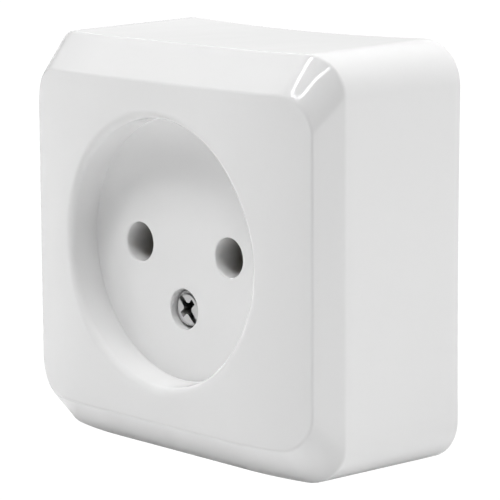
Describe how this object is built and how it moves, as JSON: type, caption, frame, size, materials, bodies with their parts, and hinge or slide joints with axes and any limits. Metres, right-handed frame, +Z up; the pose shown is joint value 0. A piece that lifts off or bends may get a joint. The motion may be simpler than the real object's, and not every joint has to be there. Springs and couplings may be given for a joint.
{
  "type": "surface mounted socket outlet",
  "caption": "Square white surface mounted wall socket without earth, with a round well, pin holes and a cover held by a central screw.",
  "frame": {"origin": "middle of the wall face, centred between the two wall-fixing slots", "axes": "+X to the right as seen from the front, +Z up, -Y out of the wall towards the front"},
  "size_m": [0.0614, 0.03, 0.0606],
  "materials": {
    "cover_plastic": "glossy white moulded plastic",
    "base_plastic": "satin off-white moulded plastic",
    "fibre_card": "matt brown insulating fibre card",
    "plated_steel": "zinc plated steel",
    "ring_plastic": "natural nylon",
    "brass": "stamped brass sheet",
    "spring_steel": "spring steel strip"
  },
  "bodies": {
    "base_body": {"base": "base_plastic", "back_card": "fibre_card", "cover_nut": "plated_steel", "left_contact": "brass", "right_contact": "brass", "left_contact_spring": "spring_steel", "right_contact_spring": "spring_steel", "left_rivet": "brass", "right_rivet": "brass", "left_terminal_nut": "plated_steel", "right_terminal_nut": "plated_steel"},
    "cover_body": {"cover": "cover_plastic"},
    "ring_body": {"screw_ring": "ring_plastic"},
    "screw_body": {"cover_screw": "plated_steel"},
    "left_clamp": {"left_clamp_plate": "plated_steel", "left_spring_washer": "spring_steel"},
    "left_screw": {"left_terminal_screw": "plated_steel"},
    "right_clamp": {"right_clamp_plate": "plated_steel", "right_spring_washer": "spring_steel"},
    "right_screw": {"right_terminal_screw": "plated_steel"}
  },
  "joints": [
    {"name": "cover_lift", "type": "slide", "parent": "base_body", "child": "cover_body", "axis": [0, -1, 0], "range_m": [0, 0.024]},
    {"name": "ring_rise", "type": "slide", "parent": "cover_body", "child": "ring_body", "axis": [0, -1, 0], "range_m": [0, 0.0032]},
    {"name": "cover_screw_turn", "type": "hinge", "parent": "ring_body", "child": "screw_body", "pos_m": [0, -0.015, -0.00866], "axis": [0, -1, 0], "range_deg": [0, 1921]},
    {"name": "left_clamp_rise", "type": "slide", "parent": "base_body", "child": "left_clamp", "axis": [0, -1, 0], "range_m": [0, 0.0025]},
    {"name": "left_screw_turn", "type": "hinge", "parent": "left_clamp", "child": "left_screw", "pos_m": [-0.0223, -0.006, 0], "axis": [0, -1, 0], "range_deg": [0, 1501]},
    {"name": "right_clamp_rise", "type": "slide", "parent": "base_body", "child": "right_clamp", "axis": [0, -1, 0], "range_m": [0, 0.0025]},
    {"name": "right_screw_turn", "type": "hinge", "parent": "right_clamp", "child": "right_screw", "pos_m": [0.0223, -0.006, 0], "axis": [0, -1, 0], "range_deg": [0, 1501]}
  ],
  "couplings": [
    {"joint": "cover_screw_turn", "follows": "ring_rise", "rad_per_m": 10472},
    {"joint": "left_screw_turn", "follows": "left_clamp_rise", "rad_per_m": 10472},
    {"joint": "right_screw_turn", "follows": "right_clamp_rise", "rad_per_m": 10472}
  ]
}
